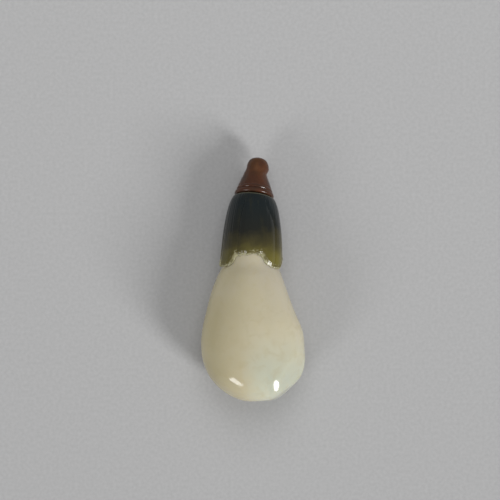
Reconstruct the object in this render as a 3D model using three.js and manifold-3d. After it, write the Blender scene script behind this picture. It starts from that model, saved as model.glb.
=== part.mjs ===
// A snuff bottle in the form of a small flattened aubergine: a hollow body of pale stone, a dark green calyx
// that sleeves its neck and shoulder, and a brown stopper carved as the stalk. It lies on its back, on two
// small ground flats. Millimetres, +Y towards the stopper, +Z up.
import * as THREE from "three";
import { mergeVertices } from "three/addons/utils/BufferGeometryUtils.js";
import Module from "manifold-3d";

const wasm = await Module();
wasm.setup();

// Heights are measured up the bottle's own axis, from the tip of its round base, before the foot was worn
// flat, to its mouth and on to the stalk.
const MOUTH_HEIGHT = 57.3;
const BELLY_RADIUS = 14.5;
const BELLY_HEIGHT = 14.6;
const FIT_GAP = 0.3; // between pieces that touch

// [height, half the width] up the outside of the body above the belly; its neck is under the calyx
const FLANK = [
  [BELLY_HEIGHT, BELLY_RADIUS],
  [20, 14.15],
  [25.6, 12.4],
  [31.4, 10.55],
  [35, 9.25],
  [37.6, 8.15],
  [39, 7.8],
  [42, 7.5],
  [47.2, 6.95],
  [51.5, 6.35],
  [54.8, 5.6],
  [MOUTH_HEIGHT, 4.7],
];

// [height, how much less half the thickness is than half the width]
const FLATTENING = [
  [BELLY_HEIGHT, 4.4],
  [20, 4.2],
  [25.6, 3],
  [31.4, 1.75],
  [37, 0.75],
  [42, 0.3],
  [50, 0],
];

// How squarely the base rounds off, from its plain side to its blunt corner on the +X side. 2 would be an
// ellipse, more is squarer.
const BASE_FULLNESS = { width: [2.12, 2.3], depth: [3.2, 6] };
const CORNER_START = { width: [0.15, 0.9], depth: [3, 7.5] }; // share of the way round to +X, and x in mm

// The snuff space follows the outside at the wall's thickness, and ends in a straight round bore.
const FLOOR_THICKNESS = 4.2;
const WALL = 3.3;
const BORE_RADIUS = 3.6;
const BORE_FOOT = 47; // height at which the bore opens into the snuff space
const RIM_ROUNDING = 0.35;

// [height, half the width] up the outside of the calyx, which is flattened as the body is
const CALYX_OUTSIDE = [
  [36.5, 8.85],
  [40.3, 8.7],
  [45.2, 8.4],
  [49.4, 7.95],
  [52.2, 7.5],
  [54.6, 6.95],
  [56.1, 6.4],
  [MOUTH_HEIGHT, 5.7],
];

// Its lower edge runs at the arches' height, and each sepal reaches down from there to its tip. Angles are
// in degrees around the axis, from the side that faces up, towards +X.
const ARCH_HEIGHT = 42.6;
const SEPALS = [
  { angle: 62, halfWidth: 40, tip: 37.6 },
  { angle: 131, halfWidth: 34, tip: 38.3 },
  { angle: 194, halfWidth: 31, tip: 37.7 },
  { angle: 254, halfWidth: 32, tip: 38.3 },
  { angle: 302, halfWidth: 28, tip: 37.8 },
  { angle: 356, halfWidth: 38, tip: 40.8 },
];
const SEPAL_SQUARENESS = 3.6; // how steeply a sepal's sides drop to its blunt tip
const FURROW_ANGLES = [50, 97, 163, 224, 281, 333];
const FURROW_DEPTH = 0.22;
const FURROW_WIDTH = 7; // degrees
const FURROW_FADE = 8; // from the mouth down, where the furrows run out

// [height above the mouth, radius] up the stalk, which leans on as the neck leans
const STALK_LENGTH = 11.4;
const STALK = [
  [0, 5.15],
  [0.3, 5.45],
  [0.8, 5.5],
  [1.4, 5.25],
  [2.6, 4.75],
  [4.1, 4.15],
  [5.5, 3.55],
  [6.7, 3.15],
  [8.1, 3.15],
  [9.5, 2.85],
  [10.6, 2.0],
  [STALK_LENGTH, 0],
];
const KNOB_SHIFT = 0.55; // how far the knob hangs over to +X
const PLUG_LENGTH = 3.4;
const PLUG_CHAMFER = 0.4;
const PLUG_RADIUS = BORE_RADIUS - FIT_GAP;

// [height, sideways offset towards +X] of the bottle's axis, which bows a little
const BOW = [
  [0, 1.6],
  [3.5, 1.2],
  [8, 0.65],
  [16, 0],
  [20, -0.1],
  [25, -0.6],
  [30, -0.9],
  [35.5, -0.85],
  [41, -0.4],
  [51, 0.05],
  [MOUTH_HEIGHT, 0.35],
  [MOUTH_HEIGHT + STALK_LENGTH, 1.05],
];

// The mouth is off level, lower towards +X and on the side that faces down. The rings turn to it gradually,
// and the stalk droops after it.
const MOUTH_LEAN = { sideways: THREE.MathUtils.degToRad(5.5), down: THREE.MathUtils.degToRad(12) };
const LEAN_FOOT = 41;
const STALK_DROOP = 0.8; // at its tip

// The round base is worn to a soft flat foot. Its corner on the +X side has a facet below, one on its
// flank, and a narrow one along the ridge between that flank and the upper side.
const BASE_FACETS = [
  { towards: new THREE.Vector3(0.05, 0, -1), distance: -0.3, softness: 0.15 },
  { towards: new THREE.Vector3(0.657, -0.086, -0.749), distance: 3.64, softness: 0.3 },
  { towards: new THREE.Vector3(0.814, -0.478, -0.331), distance: 8.58, softness: 0.3 },
  { towards: new THREE.Vector3(0.395, -0.831, -0.391), distance: 7.41, softness: 0.08 },
];

const REST_TILT = THREE.MathUtils.degToRad(4.1); // the neck is lower than the belly when it lies down
const FLAT_DEPTH = 0.3; // ground off the belly and the calyx where they rest

const BODY_SIDES = 48;
const CALYX_SIDES = 80;
const STALK_SIDES = 32;
const STALK_STEPS = 22;
const MERGE_DISTANCE = 1e-4;
const FLOOR_SIZE = 200;

const paleStone = new THREE.MeshStandardMaterial({ color: 0xc2b99a, roughness: 0.22, metalness: 0 });
const greenStone = new THREE.MeshStandardMaterial({ color: 0x30352e, roughness: 0.25, metalness: 0 });
const brownStone = new THREE.MeshStandardMaterial({ color: 0x5a3b28, roughness: 0.3, metalness: 0 });

// A smooth curve through [place, value] pairs, as a function of the place.
function through(pairs) {
  const places = pairs.map(([place]) => place);
  const curve = new THREE.CubicInterpolant(places, pairs.map(([, value]) => value), 1);
  return (place) => curve.evaluate(place)[0];
}

const flankRadius = through(FLANK);
const flattening = through(FLATTENING);
const calyxRadius = through(CALYX_OUTSIDE);
const bowOffset = through(BOW);

// Evenly spaced numbers from one to another, both included.
function steps(from, to, count) {
  return Array.from({ length: count + 1 }, (_, i) => THREE.MathUtils.lerp(from, to, i / count));
}

// How far out a superellipse of the given fullness reaches, at a share of its height.
function reach(share, fullness) {
  return (1 - share ** fullness) ** (1 / fullness);
}

// The rounded base as profile points from the tip to just below the widest ring.
function basePoints(radius, bottom, count) {
  return steps(0, Math.PI / 2, count).slice(0, -1).map((angle) => {
    const down = Math.cos(angle) ** (2 / BASE_FULLNESS.width[0]);
    const out = radius * Math.sin(angle) ** (2 / BASE_FULLNESS.width[0]);
    return new THREE.Vector2(out, BELLY_HEIGHT - (BELLY_HEIGHT - bottom) * down);
  });
}

// A profile turned around the upright axis; angle 0 of the lathe faces -Y.
function turned(profile, sides) {
  return new THREE.LatheGeometry(profile, sides).rotateX(Math.PI / 2);
}

// Moves every vertex of a geometry by a function that changes the point it is given.
function reshape(geometry, change) {
  const position = geometry.getAttribute("position");
  const point = new THREE.Vector3();
  for (let i = 0; i < position.count; i++) {
    change(point.fromBufferAttribute(position, i));
    position.setXYZ(i, point.x, point.y, point.z);
  }
  return geometry;
}

// Carries a shape on a straight axis over to the bottle's bowed one, and leans its rings near the mouth.
function followBow(point) {
  const leaning = THREE.MathUtils.smoothstep(point.z, LEAN_FOOT, MOUTH_HEIGHT);
  const sideways = MOUTH_LEAN.sideways * leaning;
  const down = MOUTH_LEAN.down * leaning;
  const { x, y, z } = point;
  const droop = STALK_DROOP * Math.max(0, (z - MOUTH_HEIGHT) / STALK_LENGTH) ** 2;
  point.x = bowOffset(z) + x * Math.cos(sideways);
  point.y = y * Math.cos(down) + droop;
  point.z = z - x * Math.sin(sideways) - y * Math.sin(down);
}

// Presses a rounded surface back to a plane, with a soft edge around the flat.
function pressFlat(point, { towards, distance, softness }) {
  const normal = towards.clone().normalize();
  const over = point.dot(normal) - distance;
  const pressed = softness * Math.log1p(Math.exp(over / softness));
  point.addScaledVector(normal, -pressed);
}

// The fullness between a pair's plain one and its corner one, where a value has reached into the corner.
function fullnessAt([plain, corner], value, [from, to]) {
  return THREE.MathUtils.lerp(plain, corner, THREE.MathUtils.smoothstep(value, from, to));
}

// Flattens a round ring of the outside, and squares up its base towards the corner.
function flattenOutside(point) {
  const radius = Math.hypot(point.x, point.y);
  if (radius === 0) return;
  if (point.z >= BELLY_HEIGHT) {
    point.y *= 1 - flattening(point.z) / radius;
    return;
  }
  const down = 1 - point.z / BELLY_HEIGHT;
  const round = reach(down, BASE_FULLNESS.width[0]);
  const width = fullnessAt(BASE_FULLNESS.width, point.x / radius, CORNER_START.width);
  const depth = fullnessAt(BASE_FULLNESS.depth, point.x, CORNER_START.depth);
  point.y *= (1 - flattening(BELLY_HEIGHT) / BELLY_RADIUS) * (reach(down, depth) / round);
  point.x *= reach(down, width) / round;
}

// The same for a ring of the snuff space, where the wall keeps its thickness.
function hollowDepth(point) {
  const height = Math.max(point.z, BELLY_HEIGHT);
  const radius = flankRadius(height) - WALL;
  return Math.max(BORE_RADIUS, radius - flattening(height)) / Math.max(BORE_RADIUS, radius);
}

function outsideShape() {
  const flank = steps(BELLY_HEIGHT, MOUTH_HEIGHT - RIM_ROUNDING, 17)
    .map((height) => new THREE.Vector2(flankRadius(height), height));
  const outline = [
    ...basePoints(BELLY_RADIUS, 0, 10),
    ...flank,
    new THREE.Vector2(flankRadius(MOUTH_HEIGHT) - RIM_ROUNDING, MOUTH_HEIGHT),
    new THREE.Vector2(0, MOUTH_HEIGHT),
  ];
  return reshape(turned(outline, BODY_SIDES), (point) => {
    flattenOutside(point);
    followBow(point);
    BASE_FACETS.forEach((facet) => pressFlat(point, facet));
  });
}

// The snuff space, its bore, and the bore's rounding at the mouth and on past it.
function hollowShape() {
  const mouth = BORE_RADIUS + RIM_ROUNDING;
  const flank = steps(BELLY_HEIGHT, BORE_FOOT, 8)
    .map((height) => new THREE.Vector2(Math.max(BORE_RADIUS, flankRadius(height) - WALL), height));
  const outline = [
    ...basePoints(BELLY_RADIUS - WALL, FLOOR_THICKNESS, 6),
    ...flank,
    new THREE.Vector2(BORE_RADIUS, MOUTH_HEIGHT - RIM_ROUNDING),
    new THREE.Vector2(mouth, MOUTH_HEIGHT),
    new THREE.Vector2(mouth, MOUTH_HEIGHT + RIM_ROUNDING),
    new THREE.Vector2(0, MOUTH_HEIGHT + RIM_ROUNDING),
  ];
  return reshape(turned(outline, BODY_SIDES), (point) => {
    point.y *= hollowDepth(point);
    followBow(point);
  });
}

function bottleShape() {
  return toGeometry(toSolid(outsideShape()).subtract(toSolid(hollowShape())));
}

// The shortest way round from one angle to another, in degrees.
function turnBetween(from, to) {
  return THREE.MathUtils.euclideanModulo(to - from + 180, 360) - 180;
}

// Height of the calyx's lower edge at an angle: the lowest sepal that reaches there.
function calyxEdge(angle) {
  const reaches = SEPALS.map(({ angle: middle, halfWidth, tip }) => {
    const across = Math.min(1, Math.abs(turnBetween(middle, angle)) / halfWidth);
    return ARCH_HEIGHT - (ARCH_HEIGHT - tip) * (1 - across ** SEPAL_SQUARENESS);
  });
  return Math.min(...reaches);
}

// Depth of the furrows between sepals, which fade out towards the mouth.
function furrowDepth(angle, height) {
  const fade = THREE.MathUtils.smoothstep(MOUTH_HEIGHT - height, 0, FURROW_FADE);
  const cuts = FURROW_ANGLES.map((middle) => Math.exp(-((turnBetween(middle, angle) / FURROW_WIDTH) ** 2)));
  return FURROW_DEPTH * fade * Math.max(...cuts);
}

// The calyx is first turned as a straight sleeve: its distance from the axis, 1 to 2, says how far through
// the wall a vertex is, and its height, 0 to 1, how far up from the lower edge to the mouth.
function sleeveOutline() {
  const outside = [0.035, 0.12, 0.25, 0.4, 0.54, 0.66, 0.75, 0.82, 0.88, 0.93, 0.97, 0.99];
  const inside = [1, 0.92, 0.8, 0.6, 0.35, 0];
  const outline = [
    ...inside.map((up) => new THREE.Vector2(1, up)),
    new THREE.Vector2(1.6, 0.004),
    new THREE.Vector2(1.88, 0.014),
    ...outside.map((up) => new THREE.Vector2(2, up)),
    new THREE.Vector2(1.7, 1),
  ];
  return [...outline, outline[0].clone()];
}

function calyxShape() {
  return reshape(turned(sleeveOutline(), CALYX_SIDES), (point) => {
    const angle = THREE.MathUtils.radToDeg(Math.atan2(point.x, -point.y));
    const outward = Math.hypot(point.x, point.y) - 1;
    const height = THREE.MathUtils.lerp(calyxEdge(angle), MOUTH_HEIGHT, point.z);
    const inner = flankRadius(height) + FIT_GAP;
    const outer = calyxRadius(height) - furrowDepth(angle, height);
    const radius = THREE.MathUtils.lerp(inner, outer, outward);
    point.set(point.x, point.y, 0).setLength(radius).setZ(height);
    point.y *= 1 - flattening(height) / radius;
    followBow(point);
  });
}

// A short plug in the bore, a rounded lip that rests on the rim, and the stalk with its knob.
function stopperShape() {
  const seat = MOUTH_HEIGHT + FIT_GAP;
  const plugFoot = MOUTH_HEIGHT - PLUG_LENGTH;
  const stalkPoints = STALK.map(([height, radius]) => new THREE.Vector2(radius, seat + height));
  const stalk = new THREE.SplineCurve(stalkPoints);
  const outline = [
    new THREE.Vector2(0, plugFoot),
    new THREE.Vector2(PLUG_RADIUS - PLUG_CHAMFER, plugFoot),
    new THREE.Vector2(PLUG_RADIUS, plugFoot + PLUG_CHAMFER),
    new THREE.Vector2(PLUG_RADIUS, seat),
    ...stalk.getPoints(STALK_STEPS),
  ];
  return reshape(turned(outline, STALK_SIDES), (point) => {
    const up = (point.z - seat) / STALK_LENGTH;
    point.x += KNOB_SHIFT * THREE.MathUtils.smoothstep(up, 0.55, 0.72);
    followBow(point);
  });
}

function toSolid(geometry) {
  const bare = geometry.clone().deleteAttribute("normal").deleteAttribute("uv");
  const merged = mergeVertices(bare, MERGE_DISTANCE);
  return new wasm.Manifold(new wasm.Mesh({
    numProp: 3,
    vertProperties: merged.getAttribute("position").array,
    triVerts: new Uint32Array(merged.index.array),
  }));
}

function toGeometry(solid) {
  const { vertProperties, triVerts } = solid.getMesh();
  return new THREE.BufferGeometry()
    .setAttribute("position", new THREE.BufferAttribute(vertProperties, 3))
    .setIndex(new THREE.BufferAttribute(triVerts, 1));
}

function piece(name, geometry, material) {
  const mesh = new THREE.Mesh(geometry, material);
  mesh.name = name;
  return mesh;
}

// Turns the upright bottle on its back, neck down by the tilt, with its lowest point FLAT_DEPTH below the
// floor.
function layDown(shapes) {
  const lying = new THREE.Group();
  lying.rotation.x = -(Math.PI / 2 + REST_TILT);
  lying.updateMatrix();
  const lowest = shapes.map((shape) => {
    const laid = shape.clone().applyMatrix4(lying.matrix);
    laid.computeBoundingBox();
    return laid.boundingBox.min.z;
  });
  lying.position.z = -Math.min(...lowest) - FLAT_DEPTH;
  lying.updateMatrix();
  return lying;
}

// Grinds off what of a shape reaches below the floor that it is going to lie on.
function groundFlat(shape, lying) {
  const floor = new THREE.BoxGeometry(FLOOR_SIZE, FLOOR_SIZE, FLOOR_SIZE).translate(0, 0, -FLOOR_SIZE / 2);
  floor.applyMatrix4(lying.matrix.clone().invert());
  return toGeometry(toSolid(shape).subtract(toSolid(floor)));
}

const bottle = bottleShape();
const calyx = calyxShape();
const lying = layDown([bottle, calyx]);
lying.add(piece("bottle", groundFlat(bottle, lying), paleStone));
lying.add(piece("calyx", groundFlat(calyx, lying), greenStone));
lying.add(piece("stopper", stopperShape(), brownStone));

// The origin is on the floor, under the middle of the object.
const object = new THREE.Group();
object.add(lying);
object.updateMatrixWorld(true);
const middle = new THREE.Box3().setFromObject(object, true).getCenter(new THREE.Vector3());
object.position.set(-middle.x, -middle.y, 0);

export default object;
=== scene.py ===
"""A small stone snuff bottle in the form of an aubergine, lying on its back on plain grey paper.

Shapes are drawn upright in millimetres, with the bottle's axis on Z and its upper side towards -Y,
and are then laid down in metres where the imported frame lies.
"""

import bisect
import math

import bmesh
import bpy
from bpy.props import FloatProperty, FloatVectorProperty, PointerProperty
from mathutils import Matrix, Vector, noise


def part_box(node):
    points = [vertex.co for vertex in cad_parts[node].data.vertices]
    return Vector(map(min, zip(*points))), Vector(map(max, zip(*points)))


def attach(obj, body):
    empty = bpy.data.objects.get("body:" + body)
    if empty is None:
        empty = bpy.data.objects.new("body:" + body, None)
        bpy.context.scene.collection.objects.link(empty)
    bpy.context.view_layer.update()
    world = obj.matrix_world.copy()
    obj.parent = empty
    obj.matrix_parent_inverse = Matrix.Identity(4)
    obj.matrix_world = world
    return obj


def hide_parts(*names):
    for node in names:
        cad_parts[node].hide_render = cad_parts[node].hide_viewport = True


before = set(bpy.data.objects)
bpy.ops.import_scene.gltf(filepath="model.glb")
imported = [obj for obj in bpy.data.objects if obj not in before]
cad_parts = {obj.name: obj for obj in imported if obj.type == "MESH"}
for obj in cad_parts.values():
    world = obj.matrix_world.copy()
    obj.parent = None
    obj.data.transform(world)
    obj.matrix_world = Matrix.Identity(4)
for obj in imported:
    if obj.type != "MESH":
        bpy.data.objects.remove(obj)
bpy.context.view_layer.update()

bl_info = {
    "name": "Aubergine Snuff Bottle",
    "version": (1, 0, 0),
    "blender": (4, 5, 0),
    "location": "3D View > Sidebar > Snuff Bottle",
    "description": "Builds an aubergine-shaped stone snuff bottle with its calyx and stalk stopper",
    "category": "Add Mesh",
}

MM = 0.001
BODY_NODE, CALYX_NODE, STOPPER_NODE = "bottle", "calyx", "stopper"
BODY_LOW, BODY_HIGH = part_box(BODY_NODE)

# (steps around the axis, rows up it) of each piece, and of a coarse body that only finds its place
BODY_DETAIL = (192, 150)
CALYX_DETAIL = (480, 100)
STOPPER_DETAIL = (160, 180)
PLACING_DETAIL = (96, 80)

# The body. Heights are measured up the axis from the tip of its base, before the foot wore flat.
MOUTH_HEIGHT = 57.3
BELLY_RADIUS = 14.5
BELLY_HEIGHT = 14.6
# (height, half the width) above the belly; the first row only gives the curve its level start
FLANK = [
    (9.2, 14.15),
    (14.6, 14.5),
    (20, 14.15),
    (25.6, 12.4),
    (31.4, 10.55),
    (35, 9.25),
    (37.6, 8.15),
    (39, 7.8),
    (42, 7.5),
    (47.2, 6.95),
    (51.5, 6.35),
    (54.8, 5.6),
    (57.3, 4.7),
]
FLATTENING = [  # (height, how much less half the thickness is than half the width)
    (14.6, 4.4),
    (20, 4.2),
    (25.6, 3),
    (31.4, 1.75),
    (37, 0.75),
    (42, 0.3),
    (50, 0),
]
# How square the base is, and how square its blunt corner on the +X side; 2 would be an ellipse.
WIDTH_FULLNESS = (2.12, 2.22)
DEPTH_FULLNESS = (3.2, 6)
# Where that corner starts and where it is full.
WIDTH_CORNER = (0.15, 0.9)  # as a share of the way round to +X
DEPTH_CORNER = (3, 7.5)  # sideways from the axis
FLOOR_THICKNESS = 4.2
BORE_FOOT = 47
RIM_ROUNDING = 0.35
BASE_FACETS = [  # (direction, distance, softness): the worn foot, then flats around the corner
    (Vector((0.05, 0, -1)).normalized(), -0.3, 0.15),
    (Vector((0.657, -0.086, -0.749)).normalized(), 3.84, 0.6),
    (Vector((0.807, -0.51, -0.299)).normalized(), 8.67, 0.2),
    (Vector((0.417, -0.833, -0.363)).normalized(), 7.82, 0.08),
    (Vector((-0.379, -0.751, -0.54)).normalized(), 5.09, 0.1),
]

# The calyx. Angles are in degrees around the axis, from the upper side towards +X.
CALYX_OUTSIDE = [  # (height, half the width)
    (36.5, 8.85),
    (40.3, 8.7),
    (45.2, 8.4),
    (49.4, 7.95),
    (52.2, 7.5),
    (54.6, 6.95),
    (56.1, 6.4),
    (57.3, 5.7),
]
CALYX_EDGE = [  # (angle, height) along its lower edge
    (-180, 38.1),
    (-166, 37.7),
    (-152, 38.1),
    (-143, 40.4),
    (-136, 42.2),
    (-129, 40.8),
    (-118, 38.7),
    (-106, 38.3),
    (-92, 38.6),
    (-84, 39.6),
    (-79, 40.2),
    (-74, 39.2),
    (-66, 38.0),
    (-55.5, 37.8),
    (-48.5, 38.0),
    (-41.5, 38.4),
    (-37.5, 39.0),
    (-34.5, 39.8),
    (-30.5, 40.45),
    (-22, 40.6),
    (-18, 40.95),
    (-7, 40.8),
    (2, 41.1),
    (9, 41.15),
    (13.5, 40.8),
    (20.5, 40.5),
    (24.5, 39.8),
    (28, 38.95),
    (33, 38.3),
    (42, 37.65),
    (53, 37.3),
    (68, 37.3),
    (80, 38.3),
    (90, 40.6),
    (97, 42.3),
    (104, 40.8),
    (115, 38.7),
    (131, 38.3),
    (147, 38.7),
    (156, 40.6),
    (163, 42.3),
    (170, 40.5),
    (180, 38.1),
]
EDGE_RADIUS = 8.7
EDGE_SLOPE_FADE = (0.5, 3)  # above the edge, where its slope counts less and then not at all
EDGE_RAGGEDNESS = 0.2
RAGGED_WAVES = [(11, 1), (34, 0.8)]  # (how fine, share) of the noise along the edge
FURROWS = [  # (angle, how far it turns by the mouth)
    (53, -23),
    (97, 0),
    (163, 0),
    (224, 0),
    (281, 0),
    (332, 7),
]
FURROW_DEPTH = 0.22
FURROW_WIDTH = 7
FURROW_FADE = 8
FURROW_TURN = (48.5, 56)  # heights between which the furrows turn
CREASE_DEPTH = 0.16
CREASE_WIDTH = 1.4
CREASE_FADE = (0.6, 3)  # below the mouth
RIM_BEAD = 0.12  # height of the raised rim
RIM_BEAD_MIDDLE = 0.4  # above the edge
RIM_BEAD_WIDTH = 0.28
BEAD_WAVES = 17  # how fine its unevenness is around the edge
RIM_TAPER = 1.3  # how far above the edge the calyx starts to thin out, on its upper side
RIM_THINNING = 0.6
THINNED_ANGLES = (42, 58)  # where the thinning starts to fade and has gone, to either side
ARCH_CORNERS = (-37, 27)  # angles where the worn rim is broader
ARCH_CORNER_WIDTH = 9
STREAK_RELIEF = 0.05
STREAK_WAVES = (19, 0.07)  # how fine the streaks are, around the calyx and up it
STREAK_FADE = (1, 3)  # above the edge
LIP = 0.012  # the rounding of its edge, as a share of the way to the mouth
SEAM = 0.04  # the hairline between pieces that touch

# The stopper.
STALK_LENGTH = 11.4
STALK = [  # (height above its seat, radius)
    (0, 5.15),
    (0.3, 5.45),
    (0.8, 5.5),
    (1.4, 5.25),
    (2.6, 4.75),
    (4.1, 4.15),
    (5.5, 3.55),
    (6.7, 3.15),
    (8.1, 3.15),
    (9.5, 2.85),
    (10.6, 2.0),
    (11.4, 0),
]
STALK_GROOVES = [(1.5, 0.26, 0.2), (2.45, 0.1, 0.15)]  # (height, depth, half width)
KNOB_SHIFT = 0.55
KNOB_START = (0.55, 0.72)  # where the shift starts and is full, as a share of the stalk
STALK_DROOP = 0.8
PLUG_LENGTH = 3.4
PLUG_BEVEL = 0.4
SEAT_GAP = 0.3

# The axis that all pieces follow, and how they lie.
BOW = [  # (height, sideways offset)
    (0, 1.6),
    (3.5, 1.2),
    (8, 0.65),
    (16, 0),
    (20, -0.1),
    (25, -0.6),
    (30, -0.9),
    (35.5, -0.85),
    (41, -0.4),
    (51, 0.05),
    (57.3, 0.35),
    (68.7, 1.05),
]
MOUTH_LEAN = math.radians(5.5)
MOUTH_DIP = math.radians(12)
LEAN_FOOT = 41
REST_TILT = math.radians(4.1)
INSET = 0.9994  # keeps the fine shapes inside their solids' boxes
SHARP_ANGLE = math.radians(35)

# Where the stones change colour, and where shade is painted on the body, in metres from the
# object's origin: (start, end) along Y or X.
# The warm side lies away from the main lamp: a warmer tone of its own, and painted shade
WARM_SHADE_SIDE_X = (-0.012, 0.008)
GREEN_LOW_Y, GREEN_SIDE_X = (-0.013, -0.027), (-0.003, 0.007)
# Painted shade towards the calyx, where the body slopes away from the lamps
SHOULDER_SHADE_Y, SHOULDER_SHADE_SIDE_X = (-0.012, 0.002), (-0.008, 0.003)
TEAL_Y = (0.013, 0.021)
OLIVE_Y = (0.0140, 0.0085)
LEAF_Y = (0.0095, 0.0040)
CALYX_SLANT_X = (-0.007, 0.006)
KNOB_Y = (0.027, 0.033)

LAMPS = [  # (name, azimuth, elevation, distance in metres, watts, size in metres, seen in gloss)
    ("right", 48.5, 29.5, 4.0, 108.0, (0.88, 1.6), True),
    ("left", -45, 28, 4.0, 38.0, (1.2, 1.2), True),
    ("far", 178, 60, 0.6, 1.02, (0.42, 0.42), False),
]
SKY_STRENGTH = 0.295
PAPER_REACH = 1.5
PAPER_DROP = 0.00003  # keeps the paper clear of the flats that rest on it
CAMERA_PLACE = (-0.00084, 0.0082, 0.8)
SENSOR_WIDTH = 36
VIEW_DISTANCE = 0.792  # from the camera to the height of the bottle's outline
VIEW_WIDTH = 0.14  # what the frame takes in at that distance


def lerp(low, high, share):
    return low + (high - low) * share


def smoothstep(value, low, high):
    share = min(max((value - low) / (high - low), 0), 1)
    return share * share * (3 - 2 * share)


def steps(low, high, count):
    """Evenly spaced numbers from one to another, both included."""
    return [lerp(low, high, i / count) for i in range(count + 1)]


def curve_through(pairs):
    """A smooth curve through (place, value) pairs, as a function of the place."""
    places = [place for place, _ in pairs]
    chords = [(b[1] - a[1]) / (b[0] - a[0]) for a, b in zip(pairs, pairs[1:])]
    slopes = [chords[0], *((a + b) / 2 for a, b in zip(chords, chords[1:])), chords[-1]]

    def value_at(place):
        i = min(max(bisect.bisect_right(places, place) - 1, 0), len(chords) - 1)
        span = places[i + 1] - places[i]
        t = min(max((place - places[i]) / span, 0), 1)
        start, end = pairs[i][1], pairs[i + 1][1]
        return (
            start * (1 + 2 * t) * (1 - t) ** 2
            + end * t * t * (3 - 2 * t)
            + slopes[i] * span * t * (1 - t) ** 2
            - slopes[i + 1] * span * t * t * (1 - t)
        )

    return value_at


flank_radius = curve_through(FLANK)
flattening = curve_through(FLATTENING)
calyx_radius = curve_through(CALYX_OUTSIDE)
edge_height = curve_through(CALYX_EDGE)
stalk_radius = curve_through(STALK)
bow_offset = curve_through(BOW)


def bump(x):
    """A smooth hill of height 1 around 0."""
    return math.exp(-(x**2))


def turn_between(start, end):
    """The shortest way round from one angle to another, in degrees."""
    return (end - start + 180) % 360 - 180


def angle_of(point):
    """Degrees around the axis from the upper side, towards +X."""
    return math.degrees(math.atan2(point.x, -point.y))


def follow_bow(point):
    """Carries a point of a straight shape to the bowed axis, and leans its ring near the mouth."""
    leaning = smoothstep(point.z, LEAN_FOOT, MOUTH_HEIGHT)
    lean, dip = MOUTH_LEAN * leaning, MOUTH_DIP * leaning
    x, y, z = point
    up_the_stalk = max(0, (z - MOUTH_HEIGHT) / STALK_LENGTH)
    point.x = bow_offset(z) + x * math.cos(lean)
    point.y = y * math.cos(dip) + STALK_DROOP * up_the_stalk**2
    point.z = z - x * math.sin(lean) - y * math.sin(dip)


def press_flat(point, direction, distance, softness):
    """Presses a point of a rounded surface back to a plane, with a soft edge around the flat."""
    over = (point.dot(direction) - distance) / softness
    pressed = softness * (math.log1p(math.exp(over)) if over < 30 else over)
    point -= direction * pressed


def reach(share, fullness):
    """How far out a superellipse of the given fullness reaches, at a share of its height."""
    return (1 - share**fullness) ** (1 / fullness)


def base_points(radius, bottom, count):
    """The rounded base in profile, from the tip to just below the widest ring."""
    power = 2 / WIDTH_FULLNESS[0]
    depth = BELLY_HEIGHT - bottom
    return [
        (radius * math.sin(a) ** power, BELLY_HEIGHT - depth * math.cos(a) ** power)
        for a in steps(0, math.pi / 2, count)[:-1]
    ]


def spun(profile, turns, closed=False, inner_from=None):
    """A bmesh of a profile of (radius, height) points spun once around the Z axis."""
    shape = bmesh.new()
    inner = shape.verts.layers.int.new("inner")
    chain = [shape.verts.new((radius, 0, height)) for radius, height in profile]
    for vert in chain[inner_from:] if inner_from else ():
        vert[inner] = 1
    links = list(zip(chain, chain[1:])) + ([(chain[-1], chain[0])] if closed else [])
    edges = [shape.edges.new(link) for link in links]
    bmesh.ops.spin(
        shape,
        geom=chain + edges,
        cent=(0, 0, 0),
        axis=(0, 0, 1),
        angle=math.tau,
        steps=turns,
        use_merge=True,
    )
    bmesh.ops.remove_doubles(shape, verts=shape.verts, dist=1e-5)
    bmesh.ops.recalc_face_normals(shape, faces=shape.faces)
    return shape


def flatten_outside(point):
    """Flattens a round ring of the outside, and squares up its base towards the corner."""
    radius = point.xy.length
    if radius == 0:
        return
    if point.z >= BELLY_HEIGHT:
        point.y *= 1 - flattening(point.z) / radius
        return
    down = 1 - point.z / BELLY_HEIGHT
    evenly = reach(down, WIDTH_FULLNESS[0])
    width = lerp(*WIDTH_FULLNESS, smoothstep(point.x / radius, *WIDTH_CORNER))
    depth = lerp(*DEPTH_FULLNESS, smoothstep(point.x, *DEPTH_CORNER))
    point.y *= (1 - flattening(BELLY_HEIGHT) / BELLY_RADIUS) * reach(down, depth) / evenly
    point.x *= reach(down, width) / evenly


def hollow_depth(height, wall, bore):
    """Share of its depth that a ring of the snuff space keeps, for a wall of even thickness."""
    height = max(height, BELLY_HEIGHT)
    radius = flank_radius(height) - wall
    return max(bore, radius - flattening(height)) / max(bore, radius)


def body_shape(settings, turns, rows):
    """The hollow body: outside from the foot to the rim, then down the bore and the snuff space."""
    belly, wall = settings.belly_radius / MM, settings.wall / MM
    bore = settings.bore_radius / MM
    slim = belly / BELLY_RADIUS
    rim_foot = MOUTH_HEIGHT - RIM_ROUNDING
    outside = [(slim * flank_radius(z), z) for z in steps(BELLY_HEIGHT, rim_foot, rows)]
    rim = [
        (slim * flank_radius(MOUTH_HEIGHT) - RIM_ROUNDING, MOUTH_HEIGHT),
        (bore + RIM_ROUNDING, MOUTH_HEIGHT),
    ]
    heights = [rim_foot, *steps(BORE_FOOT, BELLY_HEIGHT, rows // 4)]
    hollow = [(max(bore, slim * flank_radius(z) - wall), z) for z in heights]
    hollow_floor = base_points(belly - wall, FLOOR_THICKNESS, rows // 8)[::-1]
    outer = base_points(belly, 0, rows // 2) + outside + rim
    shape = spun(outer + hollow + hollow_floor, turns, inner_from=len(outer))
    inner = shape.verts.layers.int["inner"]
    for vert in shape.verts:
        if vert[inner]:
            vert.co.y *= hollow_depth(vert.co.z, wall, bore)
        else:
            flatten_outside(vert.co)
        follow_bow(vert.co)
        if not vert[inner]:
            for facet in BASE_FACETS:
                press_flat(vert.co, *facet)
    return shape


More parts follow.
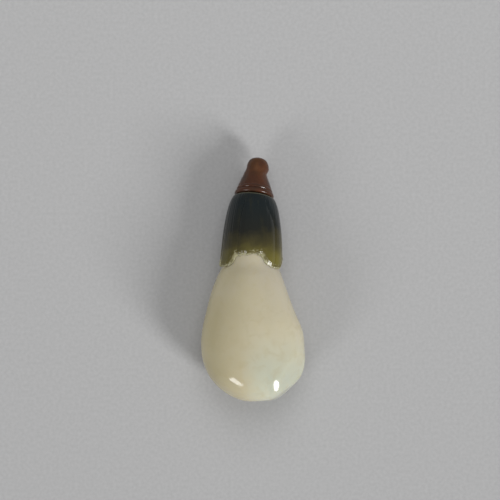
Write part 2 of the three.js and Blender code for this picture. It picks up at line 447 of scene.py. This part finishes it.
def lay_down(shape, settings):
    """Lays an upright drawing in millimetres down where the CAD bottle lies, in metres."""
    turn = Matrix.Rotation(-(math.pi / 2 + REST_TILT), 4, "X") @ Matrix.Scale(INSET * MM, 4)
    body = body_shape(settings, *PLACING_DETAIL)
    points = [turn @ vert.co for vert in body.verts]
    body.free()
    low = [min(point[i] for point in points) for i in range(3)]
    high = [max(point[i] for point in points) for i in range(3)]
    spare = (1 - INSET) * (BODY_HIGH.y - BODY_LOW.y) / 2
    move = Matrix.Translation(
        (
            (BODY_LOW.x + BODY_HIGH.x - low[0] - high[0]) / 2,
            BODY_LOW.y + spare - low[1],
            BODY_HIGH.z - spare - high[2],
        )
    )
    bmesh.ops.transform(shape, matrix=move @ turn, verts=shape.verts)


def grind_flat(shape):
    """Cuts off what reaches below the floor and closes the cut, where the bottle rests."""
    cut = bmesh.ops.bisect_plane(
        shape,
        geom=[*shape.verts, *shape.edges, *shape.faces],
        dist=1e-7,
        plane_co=(0, 0, 0),
        plane_no=(0, 0, 1),
        clear_inner=True,
    )
    rim = [e for e in cut["geom_cut"] if isinstance(e, bmesh.types.BMEdge)]
    bmesh.ops.edgeloop_fill(shape, edges=[e for e in rim if e.is_boundary])


def finish_piece(shape, name, material, node):
    """Makes a laid down bmesh the visible piece that stands for a CAD node."""
    bmesh.ops.triangulate(shape, faces=[f for f in shape.faces if len(f.verts) > 4])
    mesh = bpy.data.meshes.new(name)
    shape.to_mesh(mesh)
    shape.free()
    mesh.polygons.foreach_set("use_smooth", [True] * len(mesh.polygons))
    mesh.set_sharp_from_angle(angle=SHARP_ANGLE)
    piece = bpy.data.objects.new(name, mesh)
    bpy.context.scene.collection.objects.link(piece)
    mesh.materials.append(material)
    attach(piece, "root")
    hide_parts(node)


def on_unit_circle(angle):
    """The point of a circle to draw noise from, so that it joins up all the way round."""
    a = math.radians(angle)
    return Vector((math.sin(a), math.cos(a), 0))


def calyx_edge(angle):
    """Height of the calyx's ragged lower edge at an angle between -180 and 180 degrees."""
    around = on_unit_circle(angle)
    ragged = sum(share * noise.noise(around * fine) for fine, share in RAGGED_WAVES)
    return edge_height(angle) + EDGE_RAGGEDNESS * ragged


def distance_to_edge(angle, above):
    """The shortest way down to the edge from a point that lies some way above it."""
    rise = (edge_height(angle + 1) - edge_height(angle - 1)) / 2
    steepness = math.hypot(1, rise / (EDGE_RADIUS * math.radians(1)))
    return above / lerp(steepness, 1, smoothstep(above, *EDGE_SLOPE_FADE))


def wear(angle, edge_distance):
    """Distance to the edge for the colours, which is less where the rim is worn more broadly."""
    away = [turn_between(corner, angle) / ARCH_CORNER_WIDTH for corner in ARCH_CORNERS]
    return edge_distance / (1 + sum(bump(share) for share in away))


def furrow_relief(angle, height):
    """How far the surface dips between sepals, in a furrow with a fine crease along its middle."""
    turning = smoothstep(height, *FURROW_TURN)
    away = min(abs(turn_between(middle + bend * turning, angle)) for middle, bend in FURROWS)
    below = MOUTH_HEIGHT - height
    furrow = FURROW_DEPTH * smoothstep(below, 0, FURROW_FADE) * bump(away / FURROW_WIDTH)
    crease = CREASE_DEPTH * smoothstep(below, *CREASE_FADE) * bump(away / CREASE_WIDTH)
    return furrow + crease


def leaf_relief(angle, height, edge_distance):
    """Fine forms on the calyx: a raised rim along its edge, and streaks that run up the sepals."""
    around = on_unit_circle(angle)
    bead = RIM_BEAD * (0.8 + 0.9 * noise.noise(around * BEAD_WAVES))
    rim = bead * bump((edge_distance - RIM_BEAD_MIDDLE) / RIM_BEAD_WIDTH)
    across, up = STREAK_WAVES
    streaks = noise.noise(around * across + Vector((0, 0, height * up)))
    return rim + STREAK_RELIEF * streaks * smoothstep(edge_distance, *STREAK_FADE)


def sleeve_outline(rows):
    """The calyx as a straight sleeve.

    Radius 1 to 2 is through its wall and height 0 to 1 from its edge to the mouth. The rows of the
    outside lie closer together towards the edge.
    """
    inside = [(1, up) for up in steps(1, 0, 8)]
    half_turn = steps(0, math.pi, 8)[1:-1]
    lip = [(1.5 - 0.5 * math.cos(a), LIP - LIP * math.sin(a)) for a in half_turn]
    outside = [(2, LIP + (0.99 - LIP) * up**1.3) for up in steps(0, 1, rows)]
    return inside + lip + outside + [(1.75, 1)]


def calyx_shape(turns, rows):
    """The calyx over the neck, with the distance to its lower edge kept on every vertex."""
    shape = spun(sleeve_outline(rows), turns, closed=True)
    edge_layer = shape.verts.layers.float.new("edge_distance")
    mouth_layer = shape.verts.layers.float.new("mouth_distance")
    for vert in shape.verts:
        point = vert.co
        angle = angle_of(point)
        outward = math.hypot(point.x, point.y) - 1
        edge = calyx_edge(angle)
        height = lerp(edge, MOUTH_HEIGHT, point.z)
        edge_distance = distance_to_edge(angle, height - edge)
        inner = flank_radius(height) + SEAM
        outer = calyx_radius(height) - furrow_relief(angle, height)
        outer += leaf_relief(angle, height, edge_distance)
        near_edge = 1 - smoothstep(edge_distance, 0, RIM_TAPER)
        on_top = 1 - smoothstep(abs(angle), *THINNED_ANGLES)
        outer = lerp(outer, inner, RIM_THINNING * near_edge * on_top)
        radius = lerp(inner, outer, outward)
        vert[edge_layer] = wear(angle, edge_distance)
        vert[mouth_layer] = MOUTH_HEIGHT - height
        around = on_unit_circle(angle)
        vert.co = (radius * around.x, (flattening(height) - radius) * around.y, height)
        follow_bow(vert.co)
    return shape


def groove_depth(up):
    """Depth of the fine grooves turned around the foot of the stalk."""
    return sum(depth * bump((up - middle) / width) for middle, depth, width in STALK_GROOVES)


def stopper_shape(settings, turns, rows):
    """The stopper: a plug in the bore, a rounded lip, and the stalk with its knob."""
    seat = MOUTH_HEIGHT + SEAT_GAP
    radius = settings.plug_radius / MM
    foot = MOUTH_HEIGHT - PLUG_LENGTH
    plug = [(0, foot), (radius - PLUG_BEVEL, foot), (radius, foot + PLUG_BEVEL), (radius, seat)]
    heights = steps(0, STALK_LENGTH, rows)
    stalk = [(stalk_radius(up) - groove_depth(up), seat + up) for up in heights]
    shape = spun(plug + stalk, turns)
    for vert in shape.verts:
        up = (vert.co.z - seat) / STALK_LENGTH
        vert.co.x += KNOB_SHIFT * smoothstep(up, *KNOB_START)
        follow_bow(vert.co)
    return shape


class Finish:
    """A Principled material under construction: its nodes, and short ways to add and join them."""

    def __init__(self, name, roughness):
        self.material = bpy.data.materials.new(name)
        self.material.use_nodes = True
        self.nodes = self.material.node_tree.nodes
        self.bsdf = self.nodes["Principled BSDF"]
        self.bsdf.inputs["Roughness"].default_value = roughness
        self.place = self.nodes.new("ShaderNodeTexCoord").outputs["Object"]

    def join(self, output, target):
        self.material.node_tree.links.new(output, target)

    def stretched(self, factors):
        """Object coordinates, scaled on each axis."""
        mapping = self.nodes.new("ShaderNodeMapping")
        mapping.inputs["Scale"].default_value = factors
        self.join(self.place, mapping.inputs["Vector"])
        return mapping.outputs["Vector"]

    def cloud(self, size, detail=3, place=None, distortion=0.0):
        """Noise with patches of about a size in metres, as a value around a half."""
        texture = self.nodes.new("ShaderNodeTexNoise")
        texture.inputs["Scale"].default_value = 1 / size
        texture.inputs["Detail"].default_value = detail
        texture.inputs["Distortion"].default_value = distortion
        self.join(place or self.place, texture.inputs["Vector"])
        return texture.outputs["Fac"]

    def along(self, axis):
        """One of the object coordinates, as a value."""
        separate = self.nodes.new("ShaderNodeSeparateXYZ")
        self.join(self.place, separate.inputs["Vector"])
        return separate.outputs[axis]

    def attribute(self, name):
        """A value that the mesh carries."""
        node = self.nodes.new("ShaderNodeAttribute")
        node.attribute_name = name
        return node.outputs["Fac"]

    def spread(self, value, low, high, start=0.0, end=1.0):
        """A value's range from low to high turned into another range, held at its ends."""
        node = self.nodes.new("ShaderNodeMapRange")
        node.inputs["From Min"].default_value = low
        node.inputs["From Max"].default_value = high
        node.inputs["To Min"].default_value = start
        node.inputs["To Max"].default_value = end
        self.join(value, node.inputs["Value"])
        return node.outputs["Result"]

    def combine(self, operation, first, second):
        """Two values put together by a mathematical operation."""
        node = self.nodes.new("ShaderNodeMath")
        node.operation = operation
        self.join(first, node.inputs[0])
        self.join(second, node.inputs[1])
        return node.outputs["Value"]

    def blend(self, share, first, second):
        """Two colours mixed by a share."""
        node = self.nodes.new("ShaderNodeMix")
        node.data_type = "RGBA"
        self.join(share, node.inputs["Factor"])
        for socket, color in ((node.inputs[6], first), (node.inputs[7], second)):
            if isinstance(color, bpy.types.NodeSocket):
                self.join(color, socket)
            else:
                socket.default_value = (*color, 1)
        return node.outputs[2]

    def done(self, tone):
        """The material, coloured with a tone."""
        self.join(tone, self.bsdf.inputs["Base Color"])
        return self.material


def pale_stone(settings):
    """Polished pale stone, cloudy and a little see-through.

    It is greener towards the base's corner. Away from the main lamp it is warmer and darker:
    a warmer tone of its own, with painted shade. Towards the calyx it is darker and greyer,
    as painted shade where it slopes away from the lamps.
    """
    finish = Finish("pale stone", 0.1)
    height = finish.along("Y")
    drift = finish.spread(finish.cloud(0.012), 0.3, 0.7, -0.005, 0.005)
    sideways = finish.combine("ADD", finish.along("X"), drift)
    # Darker and warmer away from the main lamp: partly the stone's own tone, partly painted shade
    warm_shade = finish.spread(sideways, *WARM_SHADE_SIDE_X)
    tone = finish.blend(warm_shade, settings.warm_shade_color, settings.stone_color)
    low = finish.spread(height, *GREEN_LOW_Y)
    corner = finish.combine("MULTIPLY", low, finish.spread(sideways, *GREEN_SIDE_X))
    tone = finish.blend(corner, tone, settings.green_color)
    # Painted shade: darker and greyer towards the calyx, weaker on the left side
    high = finish.spread(height, *SHOULDER_SHADE_Y)
    shoulder_shade_by_side = finish.spread(sideways, *SHOULDER_SHADE_SIDE_X, 0.25, 1.0)
    shoulder_shade = finish.combine("MULTIPLY", high, shoulder_shade_by_side)
    tone = finish.blend(shoulder_shade, tone, settings.shoulder_shade_color)
    mottle = finish.spread(finish.cloud(0.0028, 5, distortion=0.6), 0.5, 0.72, 0.0, 0.38)
    tone = finish.blend(mottle, tone, settings.mottle_color)
    finish.bsdf.inputs["Subsurface Weight"].default_value = 0.5
    finish.bsdf.inputs["Subsurface Radius"].default_value = (1.0, 0.85, 0.6)
    finish.bsdf.inputs["Subsurface Scale"].default_value = 0.0025
    return finish.done(tone)


def green_stone(settings):
    """Polished dark stone that clears to yellow-green near its edge and is worn pale along it.

    A pale line right at its lip is painted light over the lip's shade, and a pale band along
    the mouth is a painted highlight.
    """
    finish = Finish("green stone", 0.2)
    height = finish.along("Y")
    upper = finish.spread(height, *TEAL_Y)
    tone = finish.blend(upper, settings.dark_color, settings.teal_color)
    drift = finish.spread(finish.cloud(0.0035, 4), 0.3, 0.7, -0.0013, 0.0013)
    slant = finish.spread(finish.along("X"), *CALYX_SLANT_X, 0.0008, -0.0010)
    zone = finish.combine("ADD", finish.combine("ADD", height, drift), slant)
    tone = finish.blend(finish.spread(zone, *OLIVE_Y), tone, settings.olive_color)
    tone = finish.blend(finish.spread(zone, *LEAF_Y), tone, settings.leaf_color)

    edge = finish.attribute("edge_distance")
    tone = finish.blend(finish.spread(edge, 1.3, 0.4, 0.0, 0.6), tone, settings.edge_color)
    grains = finish.spread(finish.cloud(0.0006, 2), 0.55, 0.68)
    specks = finish.combine("MULTIPLY", finish.spread(edge, 1.5, 0.3), grains)
    patches = finish.spread(finish.cloud(0.0016, 3), 0.42, 0.6, 0.3)
    worn = finish.combine("MULTIPLY", finish.spread(edge, 0.6, 0.1), patches)
    # Painted light: a pale line right at the lip lightens the shade there; specks and patches are
    # wear
    painted_lip_light = finish.spread(edge, 0.16, 0.04, 0.0, 0.85)
    pale = finish.combine("MAXIMUM", finish.combine("MAXIMUM", specks, worn), painted_lip_light)
    tone = finish.blend(pale, tone, settings.rim_color)

    streaks = finish.cloud(0.0012, 3, finish.stretched((1, 0.12, 1)))
    tone = finish.blend(finish.spread(streaks, 0.55, 0.8, 0.0, 0.2), tone, settings.olive_color)
    # Painted highlight: a pale band along the rim of the mouth
    mouth = finish.spread(finish.attribute("mouth_distance"), 0.5, 0.2, 0.0, 0.3)
    tone = finish.blend(mouth, tone, settings.rim_color)
    finish.bsdf.inputs["Specular IOR Level"].default_value = 0.4
    return finish.done(tone)


def brown_stone(settings):
    """Polished red-brown stone with a lighter, more orange cloud near its end."""
    finish = Finish("brown stone", 0.2)
    patches = finish.spread(finish.cloud(0.003, 4), 0.35, 0.7)
    tone = finish.blend(patches, settings.brown_color, settings.dark_color)
    end = finish.spread(finish.along("Y"), *KNOB_Y)
    cloud = finish.spread(finish.cloud(0.0035, 2), 0.35, 0.75)
    tone = finish.blend(finish.combine("MULTIPLY", end, cloud), tone, settings.cloud_color)
    finish.bsdf.inputs["Specular IOR Level"].default_value = 0.4
    return finish.done(tone)


def grey_paper(settings):
    """Matt grey paper with a faint grain."""
    finish = Finish("grey paper", 0.95)
    grain = finish.spread(finish.cloud(0.0009, 4), 0.3, 0.7)
    dark, light = (tuple(c * share for c in settings.paper_color) for share in (0.95, 1.05))
    finish.bsdf.inputs["Specular IOR Level"].default_value = 0.1
    return finish.done(finish.blend(grain, dark, light))


def light_sky(scene):
    """Even white light from all around."""
    world = bpy.data.worlds.new("studio")
    world.use_nodes = True
    background = world.node_tree.nodes["Background"]
    background.inputs["Color"].default_value = (1, 1, 1, 1)
    background.inputs["Strength"].default_value = SKY_STRENGTH
    scene.world = world


def lay_paper(scene):
    """The sheet of paper that the bottle lies on."""
    shape = bmesh.new()
    bmesh.ops.create_grid(shape, x_segments=1, y_segments=1, size=PAPER_REACH)
    mesh = bpy.data.meshes.new("paper")
    shape.to_mesh(mesh)
    shape.free()
    mesh.materials.append(grey_paper(scene.snuff_bottle.stage))
    paper = bpy.data.objects.new("paper", mesh)
    paper.location.z = -PAPER_DROP
    scene.collection.objects.link(paper)


def hang_lamp(scene, name, azimuth, elevation, distance, power, size, glossy):
    """An area lamp that faces the bottle from an azimuth, counted from -Y towards +X."""
    light = bpy.data.lights.new(name, "AREA")
    light.shape = "RECTANGLE"
    light.size, light.size_y = size
    light.energy = power
    lamp = bpy.data.objects.new(name, light)
    a, e = math.radians(azimuth), math.radians(elevation)
    way = Vector((math.sin(a) * math.cos(e), -math.cos(a) * math.cos(e), math.sin(e)))
    lamp.location = way * distance
    lamp.rotation_euler = way.to_track_quat("Z", "Y").to_euler()
    lamp.visible_glossy = glossy
    scene.collection.objects.link(lamp)


def place_camera(scene):
    """The camera, straight above the bottle."""
    camera_data = bpy.data.cameras.new("camera")
    camera_data.lens = SENSOR_WIDTH * VIEW_DISTANCE / VIEW_WIDTH
    camera = bpy.data.objects.new("camera", camera_data)
    camera.location = CAMERA_PLACE
    scene.collection.objects.link(camera)
    scene.camera = camera


def color_setting(name, description, color):
    """A colour that the user can change."""
    return FloatVectorProperty(
        name=name, description=description, default=color, min=0, max=1, size=3, subtype="COLOR"
    )


class BodySettings(bpy.types.PropertyGroup):
    """Sizes and colours of the body."""

    belly_radius: FloatProperty(
        name="Belly Radius",
        description="Half the width of the body at its widest ring",
        default=0.01446,
        min=0.01,
        max=0.02,
        subtype="DISTANCE",
    )
    wall: FloatProperty(
        name="Wall",
        description="Thickness of the body's wall",
        default=0.0033,
        min=0.001,
        max=0.005,
        subtype="DISTANCE",
    )
    bore_radius: FloatProperty(
        name="Bore Radius",
        description="Half the width of the bore through the neck",
        default=0.0036,
        min=0.002,
        max=0.004,
        subtype="DISTANCE",
    )
    stone_color: color_setting("Stone Color", "Main colour of the body", (0.625, 0.572, 0.418))
    # Warmer and darker away from the main lamp: partly its own tone, partly painted shade
    warm_shade_color: color_setting("Warm Color", "Colour on its warmer side", (0.515, 0.457, 0.285))
    green_color: color_setting("Green Color", "Colour near its corner", (0.54, 0.555, 0.445))
    # Painted shade towards the calyx
    shoulder_shade_color: color_setting("Shoulder Color", "Colour near the calyx", (0.52, 0.473, 0.365))
    mottle_color: color_setting("Mottle Color", "Colour of its faint clouds", (0.50, 0.44, 0.27))


class CalyxSettings(bpy.types.PropertyGroup):
    """Colours of the calyx."""

    dark_color: color_setting("Dark Color", "Main colour of the calyx", (0.0125, 0.013, 0.009))
    teal_color: color_setting("Teal Color", "Colour near the mouth", (0.007, 0.0125, 0.014))
    olive_color: color_setting("Olive Color", "Colour where it clears", (0.062, 0.052, 0.016))
    leaf_color: color_setting("Leaf Color", "Colour close to its edge", (0.15, 0.13, 0.025))
    edge_color: color_setting("Edge Color", "Colour right at its edge", (0.10, 0.08, 0.028))
    # Worn specks, painted light at the lip and a painted highlight at the mouth all use this colour
    rim_color: color_setting("Rim Color", "Colour of the worn specks", (0.38, 0.36, 0.22))


class StopperSettings(bpy.types.PropertyGroup):
    """Sizes and colours of the stopper."""

    plug_radius: FloatProperty(
        name="Plug Radius",
        description="Half the width of the plug that goes into the bore",
        default=0.0033,
        min=0.002,
        max=0.0036,
        subtype="DISTANCE",
    )
    brown_color: color_setting("Brown Color", "Main colour of the stopper", (0.082, 0.027, 0.012))
    dark_color: color_setting("Dark Color", "Colour of its darker patches", (0.045, 0.02, 0.01))
    cloud_color: color_setting("Cloud Color", "Colour of the cloud at its end", (0.13, 0.05, 0.013))


class StageSettings(bpy.types.PropertyGroup):
    """Colours of the stage."""

    paper_color: color_setting("Paper Color", "Colour of the paper", (0.458, 0.458, 0.46))


class SnuffBottleSettings(bpy.types.PropertyGroup):
    """All settings of the snuff bottle."""

    body: PointerProperty(type=BodySettings)
    calyx: PointerProperty(type=CalyxSettings)
    stage: PointerProperty(type=StageSettings)
    stopper: PointerProperty(type=StopperSettings)


class SNUFFBOTTLE_OT_body(bpy.types.Operator):
    """Carve the hollow body"""

    bl_idname = "snuff_bottle.body"
    bl_label = "Carve Body"

    def execute(self, context):
        settings = context.scene.snuff_bottle.body
        shape = body_shape(settings, *BODY_DETAIL)
        lay_down(shape, settings)
        grind_flat(shape)
        finish_piece(shape, "body", pale_stone(settings), BODY_NODE)
        return {"FINISHED"}


class SNUFFBOTTLE_OT_calyx(bpy.types.Operator):
    """Carve the leafy calyx that sleeves the neck"""

    bl_idname = "snuff_bottle.calyx"
    bl_label = "Carve Calyx"

    def execute(self, context):
        settings = context.scene.snuff_bottle
        shape = calyx_shape(*CALYX_DETAIL)
        lay_down(shape, settings.body)
        grind_flat(shape)
        finish_piece(shape, "leaf_calyx", green_stone(settings.calyx), CALYX_NODE)
        return {"FINISHED"}


class SNUFFBOTTLE_OT_stopper(bpy.types.Operator):
    """Carve the stalk stopper with its plug"""

    bl_idname = "snuff_bottle.stopper"
    bl_label = "Carve Stopper"

    def execute(self, context):
        settings = context.scene.snuff_bottle
        shape = stopper_shape(settings.stopper, *STOPPER_DETAIL)
        lay_down(shape, settings.body)
        material = brown_stone(settings.stopper)
        finish_piece(shape, "stalk_stopper", material, STOPPER_NODE)
        return {"FINISHED"}


class SNUFFBOTTLE_OT_stage(bpy.types.Operator):
    """Lay out the paper, lights and camera"""

    bl_idname = "snuff_bottle.stage"
    bl_label = "Set Stage"

    def execute(self, context):
        scene = context.scene
        scene.view_settings.view_transform = "Standard"
        light_sky(scene)
        lay_paper(scene)
        for lamp in LAMPS:
            hang_lamp(scene, *lamp)
        place_camera(scene)
        return {"FINISHED"}


class SNUFFBOTTLE_PT_panel(bpy.types.Panel):
    """Lists the pieces and their settings"""

    bl_label = "Snuff Bottle"
    bl_idname = "SNUFFBOTTLE_PT_panel"
    bl_space_type = "VIEW_3D"
    bl_region_type = "UI"
    bl_category = "Snuff Bottle"

    def draw(self, context):
        for operator in OPERATORS:
            self.layout.operator(operator.bl_idname)
        settings = context.scene.snuff_bottle
        for group in (settings.body, settings.calyx, settings.stopper, settings.stage):
            box = self.layout.box()
            for name in group.__annotations__:
                box.prop(group, name)


OPERATORS = (
    SNUFFBOTTLE_OT_body,
    SNUFFBOTTLE_OT_calyx,
    SNUFFBOTTLE_OT_stopper,
    SNUFFBOTTLE_OT_stage,
)
CLASSES = (
    BodySettings,
    CalyxSettings,
    StopperSettings,
    StageSettings,
    SnuffBottleSettings,
    *OPERATORS,
    SNUFFBOTTLE_PT_panel,
)


def register():
    for cls in CLASSES:
        bpy.utils.register_class(cls)
    bpy.types.Scene.snuff_bottle = PointerProperty(type=SnuffBottleSettings)


def unregister():
    del bpy.types.Scene.snuff_bottle
    for cls in reversed(CLASSES):
        bpy.utils.unregister_class(cls)


def main():
    register()
    bpy.ops.snuff_bottle.stage()
    bpy.ops.snuff_bottle.body()
    bpy.ops.snuff_bottle.calyx()
    bpy.ops.snuff_bottle.stopper()


if __name__ == "__main__":
    main()
